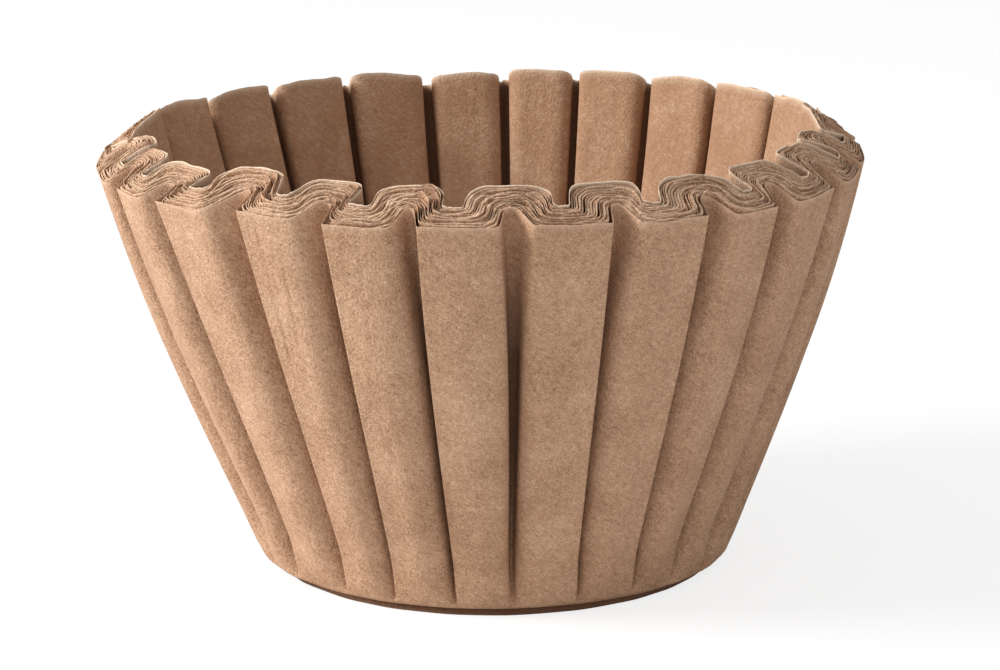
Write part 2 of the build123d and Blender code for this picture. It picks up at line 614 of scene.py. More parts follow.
    def _rim_lift(self, layer: np.ndarray) -> np.ndarray:
        """How far the rim stands above its even slope.

        Args:
            layer: Points of the middle layer at the rim.

        Returns:
            One height for each column.
        """
        angles = [angle for slot in self.slots for angle in slot.mouth]
        lifts = [lift for slot in self.slots for lift in slot.lift]
        theta = np.degrees(np.arctan2(layer[:, 0], -layer[:, 1]))
        return np.interp(theta, angles, lifts, period=360)

    def _lit_flank(self) -> np.ndarray:
        """Marks the flanks that run from an inner pleat to the left corner of a pleat with open sheets.

        Returns:
            One value for each column, 1 on such a flank and 0 away from it.
        """
        start = sum(self.FOLD_POINTS[:2]) + sum(self.FLAT_POINTS[:2])
        end = start + self.FOLD_POINTS[2] + self.FLAT_POINTS[2] + self.FOLD_POINTS[3]
        first, last = self.FANNED_ANGLES
        mask = np.zeros(self.columns)
        for index, slot in enumerate(self.slots):
            if slot.lift[1] > self.FANNED_LIFT or first < sum(slot.mouth) / 2 < last:
                mask[index * self.PER_SLOT + start : index * self.PER_SLOT + end] = 1.0
        reach = self.FANNED_BLEND - 1
        kernel = np.ones(self.FANNED_BLEND) / self.FANNED_BLEND
        wrapped = np.concatenate([mask[-reach:], mask, mask[:reach]])
        return np.convolve(wrapped, kernel, mode="same")[reach:-reach]

    def cleft(self) -> np.ndarray:
        """How deep each column lies in a slot; this sets where shade is painted into the folds.

        Returns:
            One value for each column: 0 on the outer pleats, 1 on the slots' floors.
        """
        counts = [count for pair in zip(self.FOLD_POINTS, self.FLAT_POINTS) for count in pair]
        ends = self.CLEFT_AT_CORNERS
        spans = zip(counts, ends, ends[1:])
        values = [np.linspace(low, high, count, endpoint=False) for count, low, high in spans]
        return np.tile(np.concatenate(values), len(self.slots))

    def _middle(self) -> tuple[np.ndarray, np.ndarray]:
        """Where the middle of every slot runs up the wall.

        Returns:
            Its angle at every station in radians, and its angle at the rim in degrees.
        """
        rim = np.array([sum(slot.mouth) / 2 for slot in self.slots])[None, :]
        waist = np.array([slot.waist for slot in self.slots])[None, :]
        foot = np.array([slot.foot for slot in self.slots])[None, :]
        up = np.minimum(self.climb, 1.0)
        middle = foot * (1 - up) * (1 - 2 * up) + waist * 4 * up * (1 - up) + rim * up * (2 * up - 1)
        return np.radians(middle), rim

    def _softness(self, sign: float) -> tuple[np.ndarray, np.ndarray]:
        """How soft and how crisp one side's edge of every slot is: -1 for the left side, 1 for the right."""
        lean = np.array([slot.lean for slot in self.slots])[None, :]
        return np.maximum(0.0, sign * lean), np.maximum(0.0, -sign * lean)

    def corners(self, share: float) -> np.ndarray:
        """Four corners of every slot at every station.

        Args:
            share: How far into the nest the layer lies.

        Returns:
            Array of (station, slot, corner, xy).
        """
        form = self.form
        up = self.climb
        above_start = np.clip((self.height[:, None] - form.slot_start) / form.slot_fade, 0.0, 1.0)
        fade = above_start**form.slot_fade_power
        radius = (self.radius - share * form.thickness * np.sin(self.turn))[:, None]
        radius = radius - (1 - share) * np.maximum(self.dome - form.chord_sag, 0.0)
        middle, rim = self._middle()
        depth_rim = np.array([slot.depth for slot in self.slots])[None, :]
        depth = (form.slot_depth_foot + (depth_rim - form.slot_depth_foot) * up) * fade
        below_rim = np.clip(form.deepening_rate * (1 - up), 0, 1)
        depth = depth * (1 + form.outer_deepening * (1 - share) * below_rim)
        floor = radius - depth
        following = np.roll(middle, -1, axis=1)
        following[:, -1] += 2 * math.pi
        preceding = np.roll(middle, 1, axis=1)
        preceding[:, 0] -= 2 * math.pi
        mouth = form.inner_mouth_foot + (form.inner_mouth_rim - form.inner_mouth_foot) * up
        widening = form.inner_widening / 2 * depth / form.slot_depth_rim
        settle = np.clip(up, 0, 1) ** form.rim_flare
        mouth_half = form.mouth_half_foot + (form.mouth_half_rim - form.mouth_half_foot) * up
        floor_half = form.floor_half_foot + (form.floor_half_rim - form.floor_half_foot) * up
        shingle = form.shingle_widening * climb_between(np.abs(np.sin(middle)), form.shingle_sines)
        local = []
        for side, sign, neighbour in ((0, -1.0, preceding), (1, 1.0, following)):
            mouth_rim = np.radians(np.array([slot.mouth[side] for slot in self.slots])[None, :] - rim)
            floor_rim = np.radians(np.array([slot.floor[side] for slot in self.slots])[None, :] - rim)
            soft, crisp = self._softness(sign)
            wider = (form.soft_widening + shingle) * soft
            wall_mouth = mouth_half * (1 + wider - form.crisp_narrowing * crisp)
            under_edge = mouth_half * (1 - form.crisp_narrowing) + form.undercut
            wall_floor = floor_half * (1 - form.soft_floor_narrowing * soft)
            wall_floor = wall_floor + crisp * (under_edge - floor_half)
            at_mouth = sign * wall_mouth * (1 - settle) + mouth_rim * form.rim_radius * settle
            at_floor = sign * wall_floor * (1 - settle) + floor_rim * form.rim_radius * settle
            beside = self.inner[-1:] + self.inner[:-1] if side == 0 else self.inner
            pleat_rim = self._turn_from(rim, [slot.mouth[1 - side] for slot in beside])
            bottom_rim = self._turn_from(rim, [slot.bottom[1 - side] for slot in beside])
            reach = np.abs(neighbour - middle) / 2
            even_bottom = sign * (reach * radius - mouth / 2 - widening)
            even_pleat = sign * (reach * floor - mouth / 2)
            inner_bottom = even_bottom * (1 - settle) + bottom_rim * radius * settle
            inner_pleat = even_pleat * (1 - settle) + pleat_rim * floor * settle
            pleat_corner = (radius, at_mouth + share * (inner_bottom - at_mouth))
            floor_corner = (floor, at_floor + share * (inner_pleat - at_floor))
            local.extend((pleat_corner, floor_corner) if side == 0 else (floor_corner, pleat_corner))
        out = np.empty(middle.shape + (len(local), 2))
        for index, (outward, across) in enumerate(local):
            out[..., index, 0] = np.sin(middle) * outward + np.cos(middle) * across
            out[..., index, 1] = -np.cos(middle) * outward + np.sin(middle) * across
        return out

    def _domed(self, plan: np.ndarray, share: float) -> np.ndarray:
        """Swells the outer pleats outwards between their corners.

        Args:
            plan: Array of (station, column, xy), which is changed.
            share: How far into the nest the layer lies.

        Returns:
            The same array.
        """
        first = self.PER_SLOT - self.FLAT_POINTS[3] - self.FOLD_POINTS[3]
        pleat_columns = self.FOLD_POINTS[3] + self.FLAT_POINTS[3] + self.FOLD_POINTS[0]
        bulge = self.dome * (1 - self.form.bulge_loss * share)
        for slot in range(len(self.slots)):
            columns = (slot * self.PER_SLOT + first + np.arange(pleat_columns)) % plan.shape[1]
            pleat = plan[:, columns]
            steps = np.linalg.norm(np.diff(pleat, axis=1, prepend=pleat[:, :1]), axis=2)
            place = np.cumsum(steps, axis=1) / steps.sum(axis=1)[:, None]
            skew = self._skew(slot)
            along = place**skew if skew > 1 else 1 - (1 - place) ** (1 / skew)
            radius = np.linalg.norm(pleat, axis=2)
            plan[:, columns] = pleat * (1 + bulge * 4 * along * (1 - along) / radius)[..., None]
        return plan

    def _skew(self, slot: int) -> float:
        """Exponent that moves the top of the pleat right of a slot: above 1 it lies to the right."""
        following = self.slots[(slot + 1) % len(self.slots)]
        return float(self.form.dome_skew ** (-(self.slots[slot].lean + following.lean) / 2))

    @staticmethod
    def _turn_from(rim: np.ndarray, angles: list[float]) -> np.ndarray:
        """Turns from each slot's middle to an angle beside it, in radians, within half a turn."""
        return np.radians((np.array(angles)[None, :] - rim + 180.0) % 360.0 - 180.0)

    def fold_reach(self, share: float) -> tuple[np.ndarray, np.ndarray]:
        """How far each fold's rounding reaches along its flats.

        Args:
            share: How far into the nest the layer lies.

        Returns:
            Two arrays of (station, slot corner): along the slot's flank, and along pleat or floor.
        """
        form = self.form
        folds = self.folds
        low = np.clip(folds.low_end - self.climb, 0.0, 1.0)
        depth = form.slot_depth_foot + (form.slot_depth_rim - form.slot_depth_foot) * self.climb
        inside = folds.inside * min(1.0, share / folds.inside_from) * (1 - folds.inside_loss * share)
        away = np.minimum(folds.low_rate * low, 1.0) ** folds.low_power
        lean = np.array([slot.lean for slot in self.slots])[None, :]
        pleat, pleat_flank = [], []
        for sign in (-1.0, 1.0):
            soft, crisp = self._softness(sign)
            soft = soft + folds.even_softness * (1 - np.abs(lean))
            middling = (folds.soft_shoulder + folds.crisp_shoulder) / 2 * (1 - soft - crisp)
            shoulder = folds.soft_shoulder * soft + folds.crisp_shoulder * crisp + middling
            pleat.append(folds.pleat + shoulder * away + inside)
            round_flank = folds.soft_flank * soft * away * (1 - share)
            low_flank = folds.low_flank * low * (1 - folds.crisp_loss * crisp)
            pleat_flank.append(folds.flank + low_flank + folds.inside_flank * inside + round_flank)
        slot_end = folds.slot + folds.slot_part * depth
        flank = slot_end + (folds.inner_flank * depth - slot_end) * share
        floor = slot_end + (folds.inner_floor * depth - slot_end) * share
        left = 1 + share * (np.array([slot.rounding[0] for slot in self.slots])[None, :] - 1)
        right = 1 + share * (np.array([slot.rounding[1] for slot in self.slots])[None, :] - 1)
        along_flank = np.stack([pleat_flank[0], flank * left, flank * right, pleat_flank[1]], axis=2)
        along_flat = np.stack([pleat[0], floor * left, floor * right, pleat[1]], axis=2)
        return along_flank.reshape(len(low), -1), along_flat.reshape(len(low), -1)

    def grid(self, share: float) -> np.ndarray:
        """Points on one layer at every station.

        Args:
            share: How far into the nest the layer lies.

        Returns:
            Array of (station, column, xyz).
        """
        form = self.form
        by_slot = self.corners(share)
        stations, slots, per_slot = by_slot.shape[:3]
        count = slots * per_slot
        corners = by_slot.reshape(stations, count, 2)
        back = np.roll(corners, 1, axis=1) - corners
        ahead = np.roll(corners, -1, axis=1) - corners
        back_length = np.linalg.norm(back, axis=2) + self.SAME_POINT
        ahead_length = np.linalg.norm(ahead, axis=2) + self.SAME_POINT
        flank, flat = self.fold_reach(share)
        kind = np.arange(count) % per_slot
        pleat_part = self.OUTER_PLEAT_PART + (self.INNER_PLEAT_PART - self.OUTER_PLEAT_PART) * share
        flank_limit = self.FLANK_LIMIT * np.where((kind == 0) | (kind == 3), pleat_part, 1 - pleat_part)
        flank_is_ahead = (kind == 0) | (kind == 2)
        flat_back = np.minimum(flat, self.FLAT_LIMIT * back_length)
        flat_ahead = np.minimum(flat, self.FLAT_LIMIT * ahead_length)
        back_cut = np.where(flank_is_ahead, flat_back, np.minimum(flank, flank_limit * back_length))
        ahead_cut = np.where(flank_is_ahead, np.minimum(flank, flank_limit * ahead_length), flat_ahead)
        start = corners + back * (back_cut / back_length)[..., None]
        end = corners + ahead * (ahead_cut / ahead_length)[..., None]
        points = []
        for index in range(count):
            first, last = start[:, index], end[:, index]
            second = first + (corners[:, index] - first) * self.FOLD_HANDLE
            third = last + (corners[:, index] - last) * self.FOLD_HANDLE
            for step in np.linspace(0, 1, self.FOLD_POINTS[index % per_slot]):
                rest = 1 - step
                handles = 3 * second * rest * rest * step + 3 * third * rest * step * step
                points.append(first * rest**3 + handles + last * step**3)
            following = (index + 1) % count
            for step in np.linspace(0, 1, self.FLAT_POINTS[index % per_slot] + 2)[1:-1]:
                points.append(last * (1 - step) + start[:, following] * step)
        plan = self._domed(np.stack(points, axis=1), share)
        height = self.height + share * form.thickness * np.cos(self.turn)
        result = np.empty(plan.shape[:2] + (3,))
        result[..., :2] = plan
        result[..., 2] = height[:, None]
        if share == 0:
            self._add_creases(result)
        return result

    def _add_creases(self, grid: np.ndarray) -> None:
        """Presses the creases into the outermost layer.

        Args:
            grid: Points of the layer, which are changed.
        """
        pleat_start = self.PER_SLOT - self.FLAT_POINTS[3]
        foot_fade, top_fade = self.CREASE_FADES
        for crease in CREASES:
            low, high = crease.heights
            above = np.clip((grid[:, 0, 2] - low) / foot_fade, 0, 1)
            fade = above * np.clip((high - grid[:, 0, 2]) / top_fade, 0, 1)
            column = crease.slot * self.PER_SLOT + pleat_start + round(crease.across * self.FLAT_POINTS[3])
            for offset, part in self.CREASE_PROFILE:
                radius = np.hypot(grid[:, column + offset, 0], grid[:, column + offset, 1])
                scale = 1 + part * crease.depth * fade / radius
                grid[:, column + offset, :2] *= scale[:, None]

    def rim_top(self, grid: np.ndarray, proud: np.ndarray | float = 0.0) -> np.ndarray:
        """Height of the rim at each column.

        Args:
            grid: Points of the layer at every station.
            proud: How far the edge stands above the even rim.

        Returns:
            One height for each column.
        """
        form = self.form
        top = np.full(grid.shape[1], form.rim_height + self.RIM_GUESS)
        for _ in range(self.RIM_ROUNDS):
            plan = self.at_heights(grid, top[None, :])
            radius = np.hypot(plan[0, :, 0], plan[0, :, 1])
            rise = math.tan(math.radians(form.rim_slope)) * (form.rim_radius - radius)
            top = form.rim_height + np.minimum(rise, form.late_rise * rise + form.full_rise)
        return top + self.lift + proud

    def at_heights(self, grid: np.ndarray, heights: np.ndarray) -> np.ndarray:
        """Points of a layer at given heights.

        Args:
            grid: Points of the layer at every station.
            heights: Array of (row, column).

        Returns:
            Array of (row, column, xyz).
        """
        rows = grid[:, 0, 2]
        index = np.clip(np.searchsorted(rows, heights) - 1, 0, len(rows) - 2)
        share = (heights - rows[index]) / (rows[index + 1] - rows[index])
        columns = np.broadcast_to(np.arange(grid.shape[1]), heights.shape)
        low, high = grid[index, columns], grid[index + 1, columns]
        return low * (1 - share[..., None]) + high * share[..., None]

    def wall(self, grid: np.ndarray, top: np.ndarray, levels: np.ndarray) -> np.ndarray:
        """Rows of points up the wall to the rim.

        Args:
            grid: Points of the layer at every station.
            top: Rim height of each column.
            levels: From 0 at the end of the foot to 1 at the rim.

        Returns:
            Array of (level, column, xyz).
        """
        base = grid[self.foot_rows - 1, 0, 2]
        heights = base + (top[None, :] - base) * levels[:, None]
        return self.at_heights(grid, heights)


@dataclass
class SheetBuilder:
    """Turns rows of points into pieces of the nest.

    Attributes:
        wall: The fluted wall the sheets lie on.
        materials: The paper's material for each surface.
        shade: Where shade is painted into the paper's colour in the folds and on the foot's step.
        fine_levels: Levels up the wall on a side that shows.
        plain_levels: Levels up the wall on a side that lies against other sheets.
        edge_waves_round: Number of waves round the nest in a sheet's edge, and their strength.
        edge_step: Largest usual difference between two sheets' edges, as a share of the waves.
        near_edge: How much of a cut edge's colour the row next to the edge has.
        edge_reach: How far down the wall that colour reaches on a stack's sheets, in mm.
        stack_near_edge: How much of it they have there.
        gap_waves: Number of waves round the nest in the gaps between sheets, and their strength.
        shift_waves: Number of waves in the sheets' places between their neighbours, and their strength.
        fanned_gap: Part of the pitch that is air where the sheets fan open.
        fanned_part: How fully they do.
        fanned_waves: How much more unevenly their edges stand there, as a share.
        sharp_angle: Angle from which a fold is shaded as sharp, in degrees.
    """

    wall: FlutedWall
    materials: dict[Surface, bpy.types.Material]
    shade: FoldShade = FoldShade()
    fine_levels: np.ndarray = field(
        default_factory=lambda: np.concatenate(
            [np.linspace(0, 0.93, 26)[1:], [0.95, 0.965, 0.98, 0.992, 1.0]]
        )
    )
    plain_levels: np.ndarray = field(
        default_factory=lambda: np.concatenate([np.linspace(0, 0.9, 12)[1:], [0.96, 0.992, 1.0]])
    )
    edge_waves_round: tuple[tuple[int, float], ...] = ((40, 1.0), (140, 0.8), (420, 0.8))
    edge_step: float = 0.5
    near_edge: float = 0.3
    edge_reach: float = 0.3
    stack_near_edge: float = 0.2
    gap_waves: tuple[int, float] = (90, 0.6)
    shift_waves: tuple[int, float] = (200, 0.8)
    fanned_gap: float = 0.74
    fanned_part: float = 0.9
    fanned_waves: float = 0.8
    sharp_angle: float = 55.0

    def _lean(self, points: np.ndarray) -> np.ndarray:
        """Moves points sideways, as the nest leans a little from foot to rim.

        Args:
            points: Array whose last axis is xyz.

        Returns:
            The moved points.
        """
        form = self.wall.form
        moved = points.copy()
        share = np.clip(points[..., 2] / form.rim_height, 0, self.wall.CLIMB_LIMIT)
        moved[..., 0] += form.foot_shift + (form.rim_shift - form.foot_shift) * share
        return moved

    def _fold_shade(self, heights: np.ndarray, surface: Surface) -> np.ndarray:
        """How much shade is painted into each point's colour: in the folds, and as a contact shadow on the
        foot's step.

        Args:
            heights: Array of (row, column).
            surface: Which finish the piece gets.

        Returns:
            Array of (row, column), 0 on the open paper and 1 in the deepest folds and on the foot's step.
        """
        shade = self.shade
        folds = self.wall.cleft()[None, :]
        if surface is Surface.INSIDE:
            return (1 - folds) * climb_between(heights, shade.inside)
        below_rim = 1 - shade.rim_loss * climb_between(heights, shade.rim)
        result = folds * climb_between(heights, shade.outside) ** shade.outside_power * below_rim
        if surface is Surface.OUTSIDE:
            # The step under the foot gets the full painted shade, as a painted contact shadow.
            result = np.where(heights < self.wall.form.foot_lift + shade.step_margin, 1.0, result)
        return result

    def mesh(
        self,
        name: str,
        blocks: list[np.ndarray],
        edges: list[np.ndarray],
        surface: Surface,
        capped: bool = False,
    ) -> bpy.types.Object:
        """Makes one object from blocks of rows that close round the nest.

        Args:
            name: Name of the object.
            blocks: Each an array of (row, column, xyz).
            edges: For each block, one value per row: 1 at the paper's cut edge, 0 away from it.
            surface: Which finish it gets.
            capped: Whether the last block's first and last row each bound a flat floor.

        Returns:
            The object.
        """
        vertices, faces, marks = [], [], []
        base = 0
        for block, edge in zip(blocks, edges):
            rows, columns = block.shape[:2]
            vertices.append(self._lean(block).reshape(-1, 3) * MM)
            marks.append(np.repeat(edge, columns))
            index = base + np.arange(rows * columns).reshape(rows, columns)
            right = np.roll(index, -1, axis=1)
            quads = np.stack([index[:-1], right[:-1], right[1:], index[1:]], axis=-1)
            faces.append(quads.reshape(-1, 4))
            base += rows * columns
        polygons = np.concatenate(faces).tolist()
        # Painted shade of the folds and the foot's step, stored below in the cleft attribute.
        shade = self._fold_shade(np.concatenate([block[..., 2] for block in blocks]), surface)
        if capped:
            polygons += [index[0][::-1].tolist(), index[-1].tolist()]
            shade[[0, -1]] = 0.0
        mesh = bpy.data.meshes.new(name)
        mesh.from_pydata(np.concatenate(vertices).tolist(), [], polygons)
        mesh.attributes.new("cut_edge", "FLOAT", "POINT").data.foreach_set("value", np.concatenate(marks))
        mesh.attributes.new("cleft", "FLOAT", "POINT").data.foreach_set("value", shade.ravel())
        mesh.shade_smooth()
        mesh.set_sharp_from_angle(angle=math.radians(self.sharp_angle))
        mesh.materials.append(self.materials[surface])
        piece = bpy.data.objects.new(name, mesh)
        bpy.context.scene.collection.objects.link(piece)
        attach(piece, "root")
        mesh.calc_loop_triangles()
        LOG.info("%s: %d triangles", name, len(mesh.loop_triangles))
        return piece

    def _side(self, share: float, shift: float, levels: np.ndarray, proud: np.ndarray | float) -> np.ndarray:
        """One side of a whole filter, from its floor to its rim.

        Args:
            share: How far into the nest it lies.
            shift: How far it is moved outwards, in mm.
            levels: Levels up the wall, from 0 to 1.
            proud: How far its edge stands above the even rim.

        Returns:
            Array of (row, column, xyz).
        """
        wall = self.wall
        grid = wall.grid(share)
        grid[..., :2] *= 1 + shift / np.hypot(grid[..., 0], grid[..., 1])[..., None]
        grid[..., 2] -= shift * np.cos(wall.turn)[:, None]
        top = wall.rim_top(grid, proud)
        foot = grid[: wall.foot_rows]
        form = wall.form
        ring = foot[0] * np.array([*form.foot_rest, 1.0]) - np.array([0.0, 0.0, form.foot_lift])
        floor = ring * np.array([form.floor_share, form.floor_share, 1.0])
        return np.concatenate([floor[None], ring[None], foot, wall.wall(grid, top, levels)])

    def full_sheet(self, sheet: Sheet, rng: np.random.Generator) -> bpy.types.Object:
        """A whole filter: floor, foot and wall, on both sides.

        Args:
            sheet: What to build.
            rng: Source of its edge's unevenness.

        Returns:
            The piece.
        """
        proud = sheet.proud
        if sheet.unevenness:
            proud = proud + self.edge_waves(rng, sheet.unevenness)
        outer_levels = self.fine_levels if sheet.surface is Surface.OUTSIDE else self.plain_levels
        inner_levels = self.fine_levels if sheet.surface is Surface.INSIDE else self.plain_levels
        outer = self._side(sheet.shares[0], sheet.shifts[0], outer_levels, proud)
        inner = self._side(sheet.shares[1], sheet.shifts[1], inner_levels, proud)
        # The rim's top rows get the paler cut-edge colour: partly the cut fibres, partly a painted highlight.
        edge = np.zeros(len(outer) + len(inner))
        edge[len(outer) - 1 : len(outer) + 1] = 1.0
        edge[[len(outer) - 2, len(outer) + 1]] = self.near_edge
        rows = np.concatenate([outer, inner[::-1]])
        return self.mesh(sheet.name, [rows], [edge], sheet.surface, capped=True)

    def edge_waves(self, rng: np.random.Generator, size: float) -> np.ndarray:
        """Unevenness of one sheet's edge round the nest.

        Args:
            rng: Source of the random values.
            size: Its size in mm.

        Returns:
            One height for each column.
        """
        along = self.wall.along
        waves = sum(strength * ripple(rng, along, knots) for knots, strength in self.edge_waves_round)
        return size * (waves + rng.normal(0, self.edge_step))

    def stack(self, stack: SheetStack) -> bpy.types.Object:
        """The edges of many sheets along the rim.

        Args:
            stack: What to build.

        Returns:
            The piece.
        """
        wall = self.wall
        rng = np.random.default_rng(stack.seed)
        grids = [wall.grid(share) for share in np.linspace(stack.first, stack.last, stack.sheets + 1)]
        gap_knots, gap_swing = self.gap_waves
        shift_knots, shift_swing = self.shift_waves
        blocks, edges = [], []
        for before, after in zip(grids, grids[1:]):
            gap = stack.narrow_gap + (stack.wide_gap - stack.narrow_gap) * rng.uniform() ** 2
            gap = gap * (1 + gap_swing * ripple(rng, wall.along, gap_knots))
            gap = np.clip(gap, stack.narrow_gap, stack.wide_gap)
            gap = gap + (self.fanned_gap - gap) * wall.lit_flank * self.fanned_part
            shift = 0.5 * gap * (1 + shift_swing * np.tanh(ripple(rng, wall.along, shift_knots)))
            waves = self.edge_waves(rng, stack.unevenness) * (1 + self.fanned_waves * wall.lit_flank)
            sides = []
            for place in (shift, shift + 1 - gap):
                grid = before + (after - before) * place[None, :, None]
                grid[..., 2] = before[..., 2]
                top = wall.rim_top(grid, stack.proud + waves)
                sides.append(wall.at_heights(grid, np.stack([top - stack.depth, top - self.edge_reach, top])))
            blocks.append(np.concatenate([sides[0], sides[1][::-1]]))
            # The top rows get the paler cut-edge colour: partly the cut fibres, partly a painted highlight.
            edges.append(np.array([0.0, self.stack_near_edge, 1.0, 1.0, self.stack_near_edge, 0.0]))
        return self.mesh(stack.name, blocks, edges, Surface.CUT_EDGES)


@dataclass(frozen=True)
class Noise:
    """One kind of unevenness in the paper.

    Attributes:
        scale: Features per metre.
        detail: Number of finer octaves.
        roughness: Strength of the finer octaves.
        stretch: How many times longer its features are along each turned axis.
        turn: Turn of those axes about X, Y and Z, in radians.
    """

    scale: float
    detail: float
    roughness: float = 0.5
    stretch: Triple = (1.0, 1.0, 1.0)
    turn: Triple = (0.0, 0.0, 0.0)


class NodeGraph:
    """Short ways to add nodes to a shader tree.

    Attributes:
        tree: The tree that the nodes go into.
    """

    MIX_FACTOR = 0
    MIX_FIRST = 6
    MIX_SECOND = 7
    MIX_RESULT = 2

    def __init__(self, tree: bpy.types.NodeTree) -> None:
        """Keeps the tree."""
        self.tree = tree

    def add(self, kind: str, **settings: object) -> bpy.types.Node:
        """Adds one node.

        Args:
            kind: Name of the node's type, without its prefix.
            settings: Properties of the node.

        Returns:
            The node.
        """
        node = self.tree.nodes.new("ShaderNode" + kind)
        for key, value in settings.items():
            setattr(node, key, value)
        return node

    def feed(self, socket: bpy.types.NodeSocket, value: object) -> None:
        """Links a socket to another one, or sets it to a value.

        Args:
            socket: The socket to feed.
            value: Another socket or a plain value.
        """
        if isinstance(value, bpy.types.NodeSocket):
            self.tree.links.new(value, socket)
        else:
            socket.default_value = value

    def calc(
        self, operation: str, first: object, second: object = 0.0, clamp: bool = False
    ) -> bpy.types.NodeSocket:
        """A Math node's result.

        Args:
            operation: Name of the operation.
            first: First value or socket.
            second: Second value or socket.
            clamp: Whether the result is kept between 0 and 1.

        Returns:
            The result's socket.
        """
        node = self.add("Math", operation=operation, use_clamp=clamp)
        self.feed(node.inputs[0], first)
        self.feed(node.inputs[1], second)
        return node.outputs[0]

    def noise(self, place: object, noise: Noise) -> bpy.types.NodeSocket:
        """A noise texture's value.

        Args:
            place: Socket with the coordinates.
            noise: Which kind of unevenness.

        Returns:
            The value's socket, about 0.5 on average.
        """
        if noise.stretch != Noise.stretch:
            mapping = self.add("Mapping", vector_type="TEXTURE")
            self.feed(mapping.inputs["Vector"], place)
            mapping.inputs["Rotation"].default_value = noise.turn
            mapping.inputs["Scale"].default_value = noise.stretch
            place = mapping.outputs[0]
        node = self.add("TexNoise")
        self.feed(node.inputs["Vector"], place)
        node.inputs["Scale"].default_value = noise.scale
        node.inputs["Detail"].default_value = noise.detail
        node.inputs["Roughness"].default_value = noise.roughness
        return node.outputs[0]

    def swing(self, place: object, noise: Noise) -> bpy.types.NodeSocket:
        """A noise texture's value less its average, so that it swings about 0."""
        return self.calc("SUBTRACT", self.noise(place, noise), 0.5)

    def ramp(self, value: object, limits: Span) -> bpy.types.NodeSocket:
        """A smooth step from 0 to 1 between two values.

        Args:
            value: Socket with the value.
            limits: Where the step begins and ends.

        Returns:
            The step's socket.
        """
        node = self.add("MapRange", interpolation_type="SMOOTHSTEP")
        self.feed(node.inputs["Value"], value)
        node.inputs["From Min"].default_value = limits[0]
        node.inputs["From Max"].default_value = limits[1]
        return node.outputs[0]

    def blend(self, factor: object, first: object, second: object) -> bpy.types.NodeSocket:
        """A mix of two colours.

        Args:
            factor: 0 for the first, 1 for the second.
            first: First colour or socket.
            second: Second colour or socket.

        Returns:
            The mixed colour's socket.
        """
        node = self.add("Mix", data_type="RGBA", clamp_factor=True)
        self.feed(node.inputs[self.MIX_FACTOR], factor)
        self.feed(node.inputs[self.MIX_FIRST], first)
        self.feed(node.inputs[self.MIX_SECOND], second)
        return node.outputs[self.MIX_RESULT]


